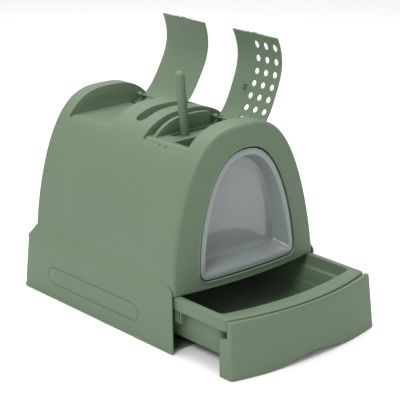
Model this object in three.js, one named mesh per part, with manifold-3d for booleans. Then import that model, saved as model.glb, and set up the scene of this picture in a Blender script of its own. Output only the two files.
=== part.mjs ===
// A hooded cat litter box: a domed hood on a base with a pull-out litter drawer in front,
// a clear swinging flap, two hinged lids on top, a scoop in its holder and a carbon filter.
// Millimetres. X is across, Y runs from front to rear, Z is up from the floor.
// Everything is drawn with y = 0 at the base's front corners and moved at the end, so that the
// origin is on the floor under the middle of the object as it stands with its drawer pulled out.
import * as THREE from 'three';
import { mergeVertices } from 'three/addons/utils/BufferGeometryUtils.js';
import Module from 'manifold-3d';

const wasm = await Module();
wasm.setup();

// ---- Driving dimensions ----
const WALL = 3;                 // moulded wall thickness
const GAP = 0.3;                // between pieces that touch
const PLAY = 1.2;               // around a lid in its recess
const LIFT = 1;                 // feet hold the base this far off the floor

const BASE = {
  halfFoot: 199, halfTop: 195, top: 120, frontFoot: -7, rearFoot: 491, rearTop: 479,
  lipHeight: 4, shoulderTop: 141, shoulderHalf: 189.5, shoulderFront: 6,
  shoulderReach: 59, cornerRadius: 0.05,
};
const ARCH = {
  foot: 117, crown: 425, halfFront: 191, halfRear: 182, rear: 460,
  sidePower: 2.95, crownPower: 1.53, segments: 15,
};
const FACE = { bow: 19, lean: 0.08 };          // the hood's front wall bulges and leans back
const DOOR = {
  foot: 131, crown: 378, half: 129, sidePower: 2.4, crownPower: 1.65, corner: 19,
  bead: 3, beadHeight: 2,
};
const FLAP = {
  play: 3, thick: 2.4, setBack: 1.2, border: 16, panDepth: 27, panTaper: 0.9,
};
const FLAP_AXIS = { y: 9, z: 345, x: 56, pin: 2.2, boss: 8, bossFrom: 18, reach: 26 };

const RECESS = { left: -112, right: 102, gutter: 8, gutterDrop: 10 };   // the gutter takes a lid's tip
const FRONT_RECESS = { front: 51, rear: 181, floor: 382 };
const REAR_RECESS = { front: 288, rear: 423, floor: 376 };
const GRAB = { y: 228, width: 28, half: 86, floor: 393 };
const HINGE_WELL = { left: 53, slope: 6, drop: 26 };   // lower floor that the hinge edges turn into
const SLOT = { left: -62, right: 46, front: 129, rear: 158, depth: 40 };
const FILTER = { left: -90, right: 46, front: 60, rear: 113, depth: 26, pad: 10 };
const RIB = { front: 162, rear: 171, inset: 11 };

const LID = {
  left: -110.5, right: 95, thick: 2.6, tab: 10.5, tabReach: 1.2,
  hingeX: 72, hingeZ: 394, pin: 2, lug: 5, lugInset: 12,
};
const FRONT_LID_OPEN = 112.5;                  // degrees from closed
const REAR_LID_OPEN = 120;
const VENT = { rows: 7, columns: 3, firstX: -92, firstY: 67.5, pitch: 25.8, radius: 6.5 };

const DRAWER_OUT = 128;                        // how far the drawer stands out
const TRAY = {
  halfTop: 177, halfFloor: 165, floor: 24, rim: 115.5, rimDrop: 25, halfRim: 188,
  front: 9, rear: 455, rimFront: -19, bow: 32, tubBow: 24,
};
const CATCH = { first: -18, pitch: 7, thick: 2.5, low: 66 };   // three ribs under the drawer's rim
const FRONT = {
  halfTop: 189, halfFoot: 196, foot: 1, top: 113, y: -44, lean: 9, bow: 25, thick: 4,
  wave: 14, waveHalf: 134, sideDepth: 34, upperDepth: 13, notch: 77, armX: 90,
};
const SCOOP = {
  x: -33, y: 143.5, top: 513, handle: 10, lean: 0.11,
  bladeX: -16, bladeHalf: 42, bladeFoot: 320, bladeDeep: 11, slits: 5, slitPitch: 15,
};

// ---- Materials ----
const plastic = new THREE.MeshStandardMaterial({ color: 0x7d9478, roughness: 0.55, metalness: 0 });
const clear = new THREE.MeshStandardMaterial({
  color: 0x9aa6a8, roughness: 0.12, metalness: 0, transparent: true, opacity: 0.45,
});
const foam = new THREE.MeshStandardMaterial({ color: 0x1c1e22, roughness: 0.95, metalness: 0 });
const rubber = new THREE.MeshStandardMaterial({ color: 0x4d524c, roughness: 0.85, metalness: 0 });

// ---- Shape helpers ----
function solid(geometry) {
  geometry.deleteAttribute('normal');
  geometry.deleteAttribute('uv');
  const merged = mergeVertices(geometry, 1e-4);
  return new wasm.Manifold(new wasm.Mesh({
    numProp: 3,
    vertProperties: new Float32Array(merged.attributes.position.array),
    triVerts: new Uint32Array(merged.index.array),
  }));
}

function shapeOf(outline) {
  if (outline instanceof THREE.Shape) return outline;
  return new THREE.Shape(outline.map(([u, v]) => new THREE.Vector2(u, v)));
}

function extrude(outline, depth, steps = 1) {
  return new THREE.ExtrudeGeometry(shapeOf(outline), {
    depth, steps, bevelEnabled: false, curveSegments: 8,
  });
}

function bend(geometry, move) {
  const place = geometry.attributes.position;
  for (let i = 0; i < place.count; i += 1) {
    const [x, y, z] = move(place.getX(i), place.getY(i), place.getZ(i));
    place.setXYZ(i, x, y, z);
  }
  return geometry;
}

// An outline in X and Z, swept along Y.
function alongY(outline, near, far, steps = 1) {
  return extrude(outline, far - near, steps).rotateX(Math.PI / 2).translate(0, far, 0);
}

// An outline in Y and Z, swept along X.
function alongX(outline, low, high) {
  const turn = new THREE.Matrix4().makeBasis(
    new THREE.Vector3(0, 1, 0), new THREE.Vector3(0, 0, 1), new THREE.Vector3(1, 0, 0));
  return extrude(outline, high - low).applyMatrix4(turn).translate(low, 0, 0);
}

// An outline in X and Y, swept up Z.
function alongZ(outline, low, high, steps = 1) {
  return extrude(outline, high - low, steps).translate(0, 0, low);
}

function box(x0, x1, y0, y1, z0, z1) {
  const block = new THREE.BoxGeometry(x1 - x0, y1 - y0, z1 - z0);
  return solid(block.translate((x0 + x1) / 2, (y0 + y1) / 2, (z0 + z1) / 2));
}

function rodX(x0, x1, y, z, radius, sides = 16) {
  const rod = new THREE.CylinderGeometry(radius, radius, x1 - x0, sides).rotateZ(Math.PI / 2);
  return solid(rod.translate((x0 + x1) / 2, y, z));
}

function rodY(x, y0, y1, z, radius, sides = 16) {
  const rod = new THREE.CylinderGeometry(radius, radius, y1 - y0, sides);
  return solid(rod.translate(x, (y0 + y1) / 2, z));
}

function rodZ(x, y, z0, z1, radius, sides = 16) {
  const rod = new THREE.CylinderGeometry(radius, radius, z1 - z0, sides).rotateX(Math.PI / 2);
  return solid(rod.translate(x, y, (z0 + z1) / 2));
}

function roundedRectangle(x0, x1, y0, y1, radius) {
  const shape = new THREE.Shape();
  shape.absarc(x1 - radius, y1 - radius, radius, 0, Math.PI / 2);
  shape.absarc(x0 + radius, y1 - radius, radius, Math.PI / 2, Math.PI);
  shape.absarc(x0 + radius, y0 + radius, radius, Math.PI, Math.PI * 1.5);
  shape.absarc(x1 - radius, y0 + radius, radius, Math.PI * 1.5, Math.PI * 2);
  return shape;
}

const joined = (...solids) => solids.reduce((sum, next) => sum.add(next));
const cut = (body, ...tools) => tools.reduce((left, tool) => left.subtract(tool), body);

// A plan with round corners at the rear only.
function rearRounded(radius) {
  const shape = new THREE.Shape();
  shape.moveTo(-1, -1);
  shape.lineTo(1, -1);
  shape.absarc(1 - radius, 1 - radius, radius, 0, Math.PI / 2);
  shape.absarc(radius - 1, 1 - radius, radius, Math.PI / 2, Math.PI);
  return shape;
}

// Levels are stacked up Z: each has its height, half-width and front and rear edges.
function stacked(levels, plan = rearRounded(BASE.cornerRadius)) {
  const pile = alongZ(plan, 0, levels.length - 1, levels.length - 1);
  return solid(bend(pile, (x, y, z) => {
    const { z: height, half, halfRear = half, front, rear } = levels[Math.round(z)];
    const wide = THREE.MathUtils.lerp(half, halfRear, (y + 1) / 2);
    return [x * wide, (front + rear) / 2 + y * (rear - front) / 2, height];
  }));
}

// ---- The arch that the hood and both lids share ----
function archHalf(y) {
  return THREE.MathUtils.lerp(ARCH.halfFront, ARCH.halfRear, y / ARCH.rear);
}

function archOutline(inset, skirt) {
  const points = [];
  const height = ARCH.crown - inset - ARCH.foot;
  for (let i = 0; i <= 2 * ARCH.segments; i += 1) {
    const turn = (i / ARCH.segments) * Math.PI / 2;
    const side = Math.abs(Math.cos(turn)) ** (2 / ARCH.sidePower) * Math.sign(Math.cos(turn));
    const rise = Math.abs(Math.sin(turn)) ** (2 / ARCH.crownPower);
    points.push([(ARCH.halfFront - inset) * side, ARCH.foot + height * rise]);
  }
  if (skirt > 0) {
    points.push([inset - ARCH.halfFront, ARCH.foot - skirt]);
    points.push([ARCH.halfFront - inset, ARCH.foot - skirt]);
  }
  return points;
}

function arch(inset, near, far, skirt = 0) {
  return solid(bend(alongY(archOutline(inset, skirt), near, far), (x, y, z) => (
    [x * (archHalf(y) - inset) / (ARCH.halfFront - inset), y, z])));
}

const archTop = (x, y) => ARCH.foot + (ARCH.crown - ARCH.foot)
  * (1 - (Math.abs(x) / archHalf(y)) ** ARCH.sidePower) ** (1 / ARCH.crownPower);

// Everything behind the bulging front wall's surface, moved back by setBack.
function behindFace(setBack) {
  const plan = [];
  const reach = 220;
  const segments = 16;
  for (let i = 0; i <= segments; i += 1) {
    const x = -reach + (2 * reach * i) / segments;
    plan.push([x, setBack - FACE.bow * (1 - (x / ARCH.halfFront) ** 2)]);
  }
  plan.push([reach, BASE.rearFoot], [-reach, BASE.rearFoot]);
  const slab = alongZ(plan, 0, ARCH.crown + 20);
  return solid(bend(slab, (x, y, z) => [x, y + FACE.lean * (z - ARCH.foot), z]));
}

// ---- Door outline: flat foot with round corners, under a tall arch ----
function doorOutline(inset) {
  const half = DOOR.half - inset;
  const foot = DOOR.foot + inset;
  const corner = Math.max(DOOR.corner - inset, 4);
  const crown = DOOR.crown - inset;
  const points = [];
  const segments = 11;
  for (let i = 0; i <= 2 * segments; i += 1) {
    const turn = (i / segments) * Math.PI / 2;
    const side = Math.abs(Math.cos(turn)) ** (2 / DOOR.sidePower) * Math.sign(Math.cos(turn));
    const rise = Math.abs(Math.sin(turn)) ** (2 / DOOR.crownPower);
    points.push([half * side, foot + corner + (crown - foot - corner) * rise]);
  }
  for (const side of [-1, 1]) {
    for (let i = 1; i <= 4; i += 1) {
      const turn = (side < 0 ? i : 4 - i) / 4 * Math.PI / 2;
      points.push([side * (half - corner + corner * Math.cos(turn)),
        foot + corner * (1 - Math.sin(turn))]);
    }
  }
  return points;
}

// ---- Hood ----
function recessOutline(floor, wall) {
  const wellFloor = floor - HINGE_WELL.drop;
  return [
    [RECESS.left - wall, floor - RECESS.gutterDrop - wall],
    [RECESS.left + RECESS.gutter, floor - wall],
    [HINGE_WELL.left - wall, floor - wall],
    [HINGE_WELL.left + HINGE_WELL.slope - wall, wellFloor - wall],
    [RECESS.right + wall, wellFloor - wall],
    [RECESS.right + wall, ARCH.crown + 10],
    [RECESS.left - wall, ARCH.crown + 10],
  ];
}

const recessSpace = ({ front, rear, floor }, wall = 0) => (
  solid(alongY(recessOutline(floor, wall), front - wall, rear + wall)));

// An opening in the front recess's floor, with room for the wall of the insert that drops into it.
const floorOpening = ({ left, right, front, rear }) => box(left - WALL, right + WALL,
  front - WALL, rear + WALL, FRONT_RECESS.floor - WALL - 1, FRONT_RECESS.floor + 1);

function hood() {
  const outside = arch(0, -60, ARCH.rear).intersect(behindFace(0));
  const inside = arch(WALL, -60, ARCH.rear - WALL, 20).intersect(behindFace(WALL));
  const grabPlan = roundedRectangle(-GRAB.half, GRAB.half, GRAB.y - GRAB.width / 2,
    GRAB.y + GRAB.width / 2, GRAB.width / 2 - 0.01);
  const grabTub = roundedRectangle(-GRAB.half - WALL, GRAB.half + WALL,
    GRAB.y - GRAB.width / 2 - WALL, GRAB.y + GRAB.width / 2 + WALL, GRAB.width / 2 + WALL - 0.01);
  const tubs = joined(recessSpace(FRONT_RECESS, WALL), recessSpace(REAR_RECESS, WALL),
    solid(alongZ(grabTub, GRAB.floor - WALL, ARCH.crown + 10))).intersect(outside);
  const bosses = [-1, 1].map((side) => {
    const near = side * (FLAP_AXIS.x + FLAP_AXIS.bossFrom);
    const far = side * (FLAP_AXIS.x + FLAP_AXIS.reach);
    return box(Math.min(near, far), Math.max(near, far), 1, FLAP_AXIS.y + FLAP_AXIS.boss,
      FLAP_AXIS.z - FLAP_AXIS.boss, FLAP_AXIS.z + FLAP_AXIS.boss).intersect(behindFace(1));
  });
  const doorBead = solid(alongY(doorOutline(-DOOR.bead), -60, 60))
    .intersect(behindFace(-DOOR.beadHeight).subtract(behindFace(1)));
  const shell = joined(outside.subtract(inside), tubs, doorBead, ...bosses);
  const flapPins = [-1, 1].map((side) => (
    rodX(...pinSpan(side), FLAP_AXIS.y, FLAP_AXIS.z, FLAP_AXIS.pin + GAP)));
  const carved = cut(shell,
    recessSpace(FRONT_RECESS),
    recessSpace(REAR_RECESS),
    solid(alongZ(grabPlan, GRAB.floor, ARCH.crown + 10)),
    solid(alongY(doorOutline(0), -60, 20)),
    floorOpening(SLOT),
    floorOpening(FILTER),
    ...flapPins);
  const ribBand = arch(RIB.inset, RIB.front, RIB.rear).intersect(
    box(RECESS.left - 1, 50, RIB.front, RIB.rear, FRONT_RECESS.floor - 1, ARCH.crown));
  return joined(carved, ribBand);
}

// ---- Base: four walls with a shoulder around the hood's foot, open in front for the drawer ----
function baseWalls(inset, extra = 0) {
  return stacked([
    {
      z: LIFT - extra, half: BASE.halfFoot - inset,
      front: BASE.frontFoot - extra, rear: BASE.rearFoot - inset,
    },
    { z: BASE.top, half: BASE.halfTop - inset, front: -extra, rear: BASE.rearTop - inset },
    {
      z: BASE.shoulderTop, half: BASE.shoulderHalf - inset + extra,
      halfRear: BASE.shoulderHalf - ARCH.halfFront + ARCH.halfRear - inset + extra,
      front: BASE.shoulderFront - extra, rear: ARCH.rear + 2 - inset,
    },
  ]);
}

function base() {
  const lip = stacked([LIFT, LIFT + BASE.lipHeight].map((z) => (
    { z, half: BASE.halfFoot + 1, front: BASE.frontFoot, rear: BASE.rearFoot })));
  const hoodFoot = arch(-GAP - 0.1, -60, ARCH.rear + GAP + 0.1, GAP).intersect(behindFace(-GAP));
  const inside = baseWalls(WALL, 0.01);
  const ledge = stacked([
    { z: ARCH.foot - WALL - GAP, half: BASE.halfTop - 1, front: 8, rear: BASE.rearTop - 1 },
    { z: ARCH.foot - GAP, half: BASE.halfTop - 1, front: 8, rear: BASE.rearTop - 1 },
  ]);
  const half = TRAY.halfRim + 1.5;
  const ledgeHole = box(-half, half, -20, TRAY.rear + 2, 100, 130);
  const shoulderCurve = [[BASE.shoulderReach, 160], [-30, 160], [-30, BASE.top]];
  for (let i = 0; i <= 8; i += 1) {
    const turn = (i / 8) * Math.PI / 2;
    shoulderCurve.push([BASE.shoulderReach * (1 - Math.cos(turn)),
      BASE.top + (BASE.shoulderTop - BASE.top) * Math.sin(turn)]);
  }
  const walls = cut(joined(baseWalls(0), lip), inside,
    box(-BASE.halfFoot + WALL + 1, BASE.halfFoot - WALL - 1, -30, 12, LIFT - 1, 160),
    solid(alongX(shoulderCurve, -210, 210)));
  return cut(joined(walls, ledge.subtract(ledgeHole)), hoodFoot);
}

// ---- Floor pan with two runners that the drawer slides on ----
function floorPan() {
  const half = BASE.halfFoot - WALL - 1;
  const plate = stacked([LIFT + 1, LIFT + 4].map((z) => (
    { z, half, front: 4, rear: BASE.rearFoot - WALL - 2 })));
  const runners = [-1, 1].map((side) => (
    box(side * 130 - 7, side * 130 + 7, 6, BASE.rearFoot - 40, LIFT + 3, TRAY.floor - GAP)));
  return joined(plate, ...runners);
}

function foot() {
  return solid(new THREE.CylinderGeometry(11, 11, LIFT + 1 - GAP, 20).rotateX(Math.PI / 2)
    .translate(0, 0, (LIFT + 1 - GAP) / 2));
}

// ---- Flap ----
const pinSpan = (side) => {
  const ends = [side * (FLAP_AXIS.x - 7), side * (FLAP_AXIS.x + FLAP_AXIS.reach)];
  return [Math.min(...ends), Math.max(...ends)];
};

function pan(outline, depth, grow) {
  const middle = (DOOR.foot + DOOR.crown) / 2;
  const near = -30;
  const far = depth;
  return solid(bend(alongY(outline, near, far), (x, y, z) => {
    const shrink = y > 0 ? FLAP.panTaper : 1;
    return [x * shrink + Math.sign(x) * grow, y, middle + (z - middle) * shrink];
  }));
}

function flap() {
  const plate = solid(alongY(doorOutline(FLAP.play), -60, 60))
    .intersect(behindFace(FLAP.setBack).subtract(behindFace(FLAP.setBack + FLAP.thick)));
  const outer = pan(doorOutline(FLAP.border), FLAP.panDepth, 0).intersect(behindFace(FLAP.setBack));
  const inner = pan(doorOutline(FLAP.border + FLAP.thick), FLAP.panDepth - FLAP.thick, 0);
  const ears = [-1, 1].map((side) => box(side * FLAP_AXIS.x - 4, side * FLAP_AXIS.x + 4, 2,
    FLAP_AXIS.y + 5, FLAP_AXIS.z - 7, FLAP_AXIS.z + 5).intersect(behindFace(FLAP.setBack + 1)));
  const bores = [-1, 1].map((side) => (
    rodX(...pinSpan(side), FLAP_AXIS.y, FLAP_AXIS.z, FLAP_AXIS.pin + GAP)));
  return cut(joined(plate, outer, ...ears), inner, ...bores);
}

function flapPin(side) {
  const [low, high] = pinSpan(side);
  return rodX(low, high, FLAP_AXIS.y, FLAP_AXIS.z, FLAP_AXIS.pin);
}

// ---- Lids ----
function lid(near, far, vented) {
  const middle = (near + far) / 2;
  const tab = rodZ(0, 0, 300, 500, LID.tab, 24).scale([LID.tabReach / LID.tab, 1, 1])
    .translate([LID.left, middle, 0]);
  const plan = joined(box(LID.left, LID.right, near, far, 300, 500), tab);
  const skin = arch(0, near, far).subtract(arch(LID.thick, near - 1, far + 1)).intersect(plan);
  const lugs = [near + LID.lugInset, far - LID.lugInset].map((y) => joined(
    rodY(LID.hingeX, y - LID.lug, y + LID.lug, LID.hingeZ, LID.lug),
    box(LID.hingeX - 4, LID.hingeX + 4, y - LID.lug, y + LID.lug, LID.hingeZ,
      archTop(LID.hingeX, y) - 1)));
  const bore = rodY(LID.hingeX, near, far, LID.hingeZ, LID.pin + GAP);
  let body = joined(skin, ...lugs);
  if (vented) {
    for (let row = 0; row < VENT.rows; row += 1) {
      for (let column = 0; column < VENT.columns; column += 1) {
        const x = VENT.firstX + row * VENT.pitch;
        const y = VENT.firstY + column * VENT.pitch;
        const rise = -Math.atan((archTop(x + 5, y) - archTop(x - 5, y)) / 10);
        const drill = new THREE.CylinderGeometry(VENT.radius, VENT.radius, 24, 12)
          .rotateX(Math.PI / 2).rotateY(rise).translate(x, y, archTop(x, y));
        body = body.subtract(solid(drill));
      }
    }
  }
  return cut(body, bore).translate([-LID.hingeX, 0, -LID.hingeZ]);
}

const hingePin = (recess) => (
  rodY(LID.hingeX, recess.front + GAP, recess.rear - GAP, LID.hingeZ, LID.pin));

// ---- Inserts of the front recess ----
// A pocket that fills an opening in the recess's floor; its own floor may be left out.
function pocket({ left, right, front, rear, depth }, floorThickness) {
  const top = FRONT_RECESS.floor;
  const wall = WALL - GAP;
  const low = top - depth;
  const outer = box(left - wall, right + wall, front - wall, rear + wall, low, top);
  return outer.subtract(box(left, right, front, rear, low + floorThickness, top + 1));
}

// A rim that bears on the underside of the recess's floor, where the pocket is welded on.
function pocketRim({ left, right, front, rear }) {
  const top = FRONT_RECESS.floor - WALL - GAP;
  const reach = 6;
  const plate = box(left - reach, right + WALL, front - reach, rear + reach, top - 2.5, top);
  return plate.subtract(box(left, right, front, rear, top - 5, top + 5));
}

// The scoop holder is a sleeve, open below, that the scoop is pushed down through.
const scoopHolder = () => joined(pocket(SLOT, -1), pocketRim(SLOT));

function filterHolder() {
  const slits = [];
  const count = 9;
  const pitch = (FILTER.right - FILTER.left) / count;
  const low = FRONT_RECESS.floor - FILTER.depth;
  for (let i = 0; i < count; i += 1) {
    const x = FILTER.left + (i + 0.5) * pitch;
    slits.push(box(x - 4, x + 4, FILTER.front + 6, FILTER.rear - 6, low - 1, low + WALL + 1));
  }
  return cut(pocket(FILTER, WALL), ...slits);
}

function filterPad() {
  const low = FRONT_RECESS.floor - FILTER.depth + WALL + GAP;
  return box(FILTER.left + 1, FILTER.right - 1, FILTER.front + 1, FILTER.rear - 1, low, low + FILTER.pad);
}

// ---- Scoop: upright round handle, flat slotted blade in the holder ----
function scoop() {
  const foot = FRONT_RECESS.floor - 8;
  const length = SCOOP.top - foot;
  const profile = [new THREE.Vector2(0, 0), new THREE.Vector2(SCOOP.handle - 1.5, 0),
    new THREE.Vector2(SCOOP.handle, length * 0.4)];
  for (let i = 0; i <= 5; i += 1) {
    const turn = (i / 5) * Math.PI / 2;
    profile.push(new THREE.Vector2(SCOOP.handle * Math.cos(turn),
      length - SCOOP.handle + SCOOP.handle * Math.sin(turn)));
  }
  profile[profile.length - 1].x = 0;
  const turned = new THREE.LatheGeometry(profile, 14).rotateX(Math.PI / 2).translate(0, 0, foot);
  const handle = solid(bend(turned, (x, y, z) => (
    [SCOOP.x + x - SCOOP.lean * (z - foot), SCOOP.y + y, z])));
  const left = SCOOP.bladeX - SCOOP.bladeHalf;
  const right = SCOOP.bladeX + SCOOP.bladeHalf;
  const front = SCOOP.y - SCOOP.bladeDeep;
  const blade = box(left, right, front, SCOOP.y + SCOOP.bladeDeep, SCOOP.bladeFoot, foot + 4);
  const hollow = box(left + WALL, right - WALL, front + WALL, SCOOP.y + SCOOP.bladeDeep + 1,
    SCOOP.bladeFoot + WALL, foot - 6);
  const slits = [];
  for (let i = 0; i < SCOOP.slits; i += 1) {
    const x = SCOOP.bladeX + (i - (SCOOP.slits - 1) / 2) * SCOOP.slitPitch;
    slits.push(box(x - 4, x + 4, front - 1, SCOOP.y, SCOOP.bladeFoot + 8, foot - 14));
  }
  return joined(cut(blade, hollow, ...slits), handle);
}

// ---- Drawer ----
function bowed(halfWidth, front, rear, bow) {
  const plan = [];
  const segments = 14;
  for (let i = 0; i <= segments; i += 1) {
    const x = -halfWidth + (2 * halfWidth * i) / segments;
    plan.push([x, front - bow * (1 - (x / halfWidth) ** 2)]);
  }
  plan.push([halfWidth, rear], [-halfWidth, rear]);
  return plan;
}

function drawerTray() {
  const low = TRAY.rim - TRAY.rimDrop;
  const rim = cut(
    solid(alongZ(bowed(TRAY.halfRim, TRAY.rimFront, TRAY.rear, TRAY.bow), low, TRAY.rim)),
    solid(alongZ(bowed(TRAY.halfRim - WALL, TRAY.rimFront + WALL, TRAY.rear - WALL, TRAY.bow),
      low - 1, TRAY.rim - WALL)));
  const tub = (inset, from, to) => stacked([
    {
      z: from, half: TRAY.halfFloor - inset,
      front: TRAY.front + 14 + inset, rear: TRAY.rear - 22 - inset,
    },
    {
      z: to, half: TRAY.halfTop - inset,
      front: TRAY.front - WALL + inset, rear: TRAY.rear - 9 - inset,
    },
  ], bowed(1, -1, 1, 2 * TRAY.tubBow / (TRAY.rear - TRAY.front)));
  const ribs = [0, 1, 2].map((i) => {
    const y = DRAWER_OUT + CATCH.first + i * CATCH.pitch;
    return box(1 - TRAY.halfRim, TRAY.halfRim - 1, y, y + CATCH.thick, CATCH.low, low + WALL);
  });
  return cut(joined(rim, tub(0, TRAY.floor, TRAY.rim), ...ribs),
    tub(WALL, TRAY.floor + WALL, TRAY.rim + WALL));
}

function drawerFront() {
  const block = (inset) => {
    const over = inset > 0 ? 5 : 0;
    const plan = bowed(FRONT.halfTop - inset, inset, FRONT.sideDepth + over, FRONT.bow);
    const top = FRONT.top - (inset > 0 ? WALL : 0);
    return solid(bend(alongZ(plan, FRONT.foot - over, top), (x, y, z) => {
      const rise = (z - FRONT.foot) / (FRONT.top - FRONT.foot);
      const widen = THREE.MathUtils.lerp(FRONT.halfFoot, FRONT.halfTop, rise) / FRONT.halfTop;
      return [x * widen, y + FRONT.y + FRONT.lean * rise, z];
    }));
  };
  const wave = [];
  const segments = 16;
  for (let i = 0; i <= segments; i += 1) {
    const x = FRONT.waveHalf * (2 * i / segments - 1);
    const rise = FRONT.wave * (1 + Math.cos((x / FRONT.waveHalf) * Math.PI)) / 2;
    wave.push([x, FRONT.foot + rise]);
  }
  wave.push([FRONT.waveHalf, -10], [-FRONT.waveHalf, -10]);
  const upperBack = FRONT.y + FRONT.lean + FRONT.upperDepth;
  const trayClear = box(-210, 210, upperBack, 40, FRONT.notch, 130);
  const rimClear = solid(alongZ(
    bowed(TRAY.halfRim + 30, TRAY.rimFront + 8, 60, TRAY.bow + 11), 80, 130));
  const arms = [-1, 1].map((side) => {
    const x = side * FRONT.armX;
    return box(x - 10, x + 10, FRONT.y - 12, TRAY.front - 15, 60, 74).intersect(block(FRONT.thick - 1));
  });
  const shell = cut(block(0), block(FRONT.thick), solid(alongY(wave, -120, 60)), trayClear, rimClear);
  return joined(shell, ...arms);
}

// ---- Assembly ----
function piece(name, body, material) {
  const { vertProperties, triVerts } = body.getMesh();
  const geometry = new THREE.BufferGeometry();
  geometry.setAttribute('position', new THREE.BufferAttribute(new Float32Array(vertProperties), 3));
  geometry.setIndex(new THREE.BufferAttribute(new Uint32Array(triVerts), 1));
  const mesh = new THREE.Mesh(geometry, material);
  mesh.name = name;
  return mesh;
}

const drawer = new THREE.Group();
drawer.add(piece('drawer_tray', drawerTray(), plastic), piece('drawer_front', drawerFront(), plastic));
drawer.position.y = -DRAWER_OUT;

const shell = new THREE.Group();
shell.add(
  piece('hood', hood(), plastic),
  piece('base', base(), plastic),
  piece('floor_pan', floorPan(), plastic),
  piece('scoop_holder', scoopHolder(), plastic),
  piece('filter_holder', filterHolder(), plastic),
  piece('carbon_filter', filterPad(), foam),
  piece('front_lid_pin', hingePin(FRONT_RECESS), plastic),
  piece('rear_lid_pin', hingePin(REAR_RECESS), plastic),
  piece('flap_pin_left', flapPin(-1), plastic),
  piece('flap_pin_right', flapPin(1), plastic),
);
for (const [name, x, y] of [['front_left', -170, 30], ['front_right', 170, 30],
  ['rear_left', -170, 450], ['rear_right', 170, 450]]) {
  const mesh = piece(`foot_${name}`, foot(), rubber);
  mesh.position.set(x, y, 0);
  shell.add(mesh);
}

const lidIn = ({ front, rear }, vented) => lid(front + PLAY, rear - PLAY, vented);
const frontLid = piece('front_lid', lidIn(FRONT_RECESS, true), plastic);
frontLid.position.set(LID.hingeX, 0, LID.hingeZ);
frontLid.rotation.y = THREE.MathUtils.degToRad(FRONT_LID_OPEN);
const rearLid = piece('rear_lid', lidIn(REAR_RECESS, false), plastic);
rearLid.position.set(LID.hingeX, 0, LID.hingeZ);
rearLid.rotation.y = THREE.MathUtils.degToRad(REAR_LID_OPEN);

const litterBox = new THREE.Group();
litterBox.add(shell, drawer, frontLid, rearLid);
litterBox.add(piece('flap', flap(), clear), piece('scoop', scoop(), plastic));
const frontmost = FRONT.y - FRONT.bow - DRAWER_OUT
  + FRONT.lean * FRONT.wave / (FRONT.top - FRONT.foot);
litterBox.position.y = -(frontmost + BASE.rearFoot) / 2;

export default litterBox;
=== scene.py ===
"""A hooded cat litter box: its visible surfaces, materials, studio and camera.

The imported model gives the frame; each operator below makes one piece or one group of like pieces.
Sizes are in metres. y = 0 is at the base's front corners until a piece is moved into the frame.
"""
import math

import bmesh
import bpy
from bpy.props import FloatProperty, FloatVectorProperty, IntProperty, PointerProperty
from mathutils import Matrix, Vector


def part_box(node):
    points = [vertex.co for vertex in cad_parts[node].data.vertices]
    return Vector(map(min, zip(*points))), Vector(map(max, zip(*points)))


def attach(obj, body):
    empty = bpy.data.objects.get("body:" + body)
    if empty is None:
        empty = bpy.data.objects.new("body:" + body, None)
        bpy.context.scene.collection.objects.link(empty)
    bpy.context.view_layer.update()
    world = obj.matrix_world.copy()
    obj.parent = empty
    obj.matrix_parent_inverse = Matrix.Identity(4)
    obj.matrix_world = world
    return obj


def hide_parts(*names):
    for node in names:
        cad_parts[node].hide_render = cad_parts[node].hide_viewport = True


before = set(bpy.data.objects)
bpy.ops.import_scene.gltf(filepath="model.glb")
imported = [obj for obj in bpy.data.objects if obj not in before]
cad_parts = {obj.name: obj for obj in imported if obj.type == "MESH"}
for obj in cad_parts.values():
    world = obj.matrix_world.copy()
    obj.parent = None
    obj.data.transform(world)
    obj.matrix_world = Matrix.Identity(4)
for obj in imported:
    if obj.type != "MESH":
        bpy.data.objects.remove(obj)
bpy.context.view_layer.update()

bl_info = {
    "name": "Hooded Litter Box",
    "version": (1, 0, 0),
    "blender": (4, 5, 0),
    "location": "View3D > Sidebar > Litter Box",
    "description": "Builds a hooded litter box with a drawer, two lids, a flap, a scoop and a filter",
    "category": "Object",
}

# ---- Places that come from the frame ----
BASE_FRONT_LEAN = 0.007
FRAME_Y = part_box("base")[0].y + BASE_FRONT_LEAN      # where y = 0 of this file lies in the frame
DRAWER_OUT = 0.128

# ---- Hood ----
ARCH_FOOT = 0.117
ARCH_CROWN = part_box("hood")[1].z
HOOD_REAR = 0.460
HALF_FRONT, HALF_REAR = 0.191, 0.182
SIDE_POWER = 2.95
CROWN_POWER = 1.53
FACE_BOW, FACE_LEAN = 0.019, 0.08
FACE_ROUND = 0.008
REAR_ROUND = 0.006

# ---- Lid recesses in the hood's top ----
RECESS_LEFT, RECESS_RIGHT = -0.112, 0.102
FRONT_RECESS = (0.051, 0.181)
REAR_RECESS = (0.288, 0.423)
FRONT_FLOOR, REAR_FLOOR = 0.382, 0.3765
HINGE_WELL_LEFT, HINGE_WELL_SLOPE, HINGE_WELL_DROP = 0.053, 0.006, 0.026
GUTTER_WIDTH, GUTTER_DROP = 0.008, 0.010
RIB_FRONT, RIB_REAR, RIB_INSET, RIB_RIGHT = 0.162, 0.171, 0.011, 0.050
LATCH_SEATS = ((-0.1135, 0.127), (-0.1145, 0.109))
BAND_DROP = 0.005
GRAB_Y, GRAB_HALF, GRAB_WIDTH, GRAB_FLOOR = 0.228, 0.086, 0.028, 0.394
SLOT = (-0.062, 0.046, 0.129, 0.158)
FILTER_BAY = (-0.090, 0.046, 0.060, 0.113)
OPENING_ROOM = 0.0029                                # round an insert's own wall
EDGE_STEPS = 6

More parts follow.
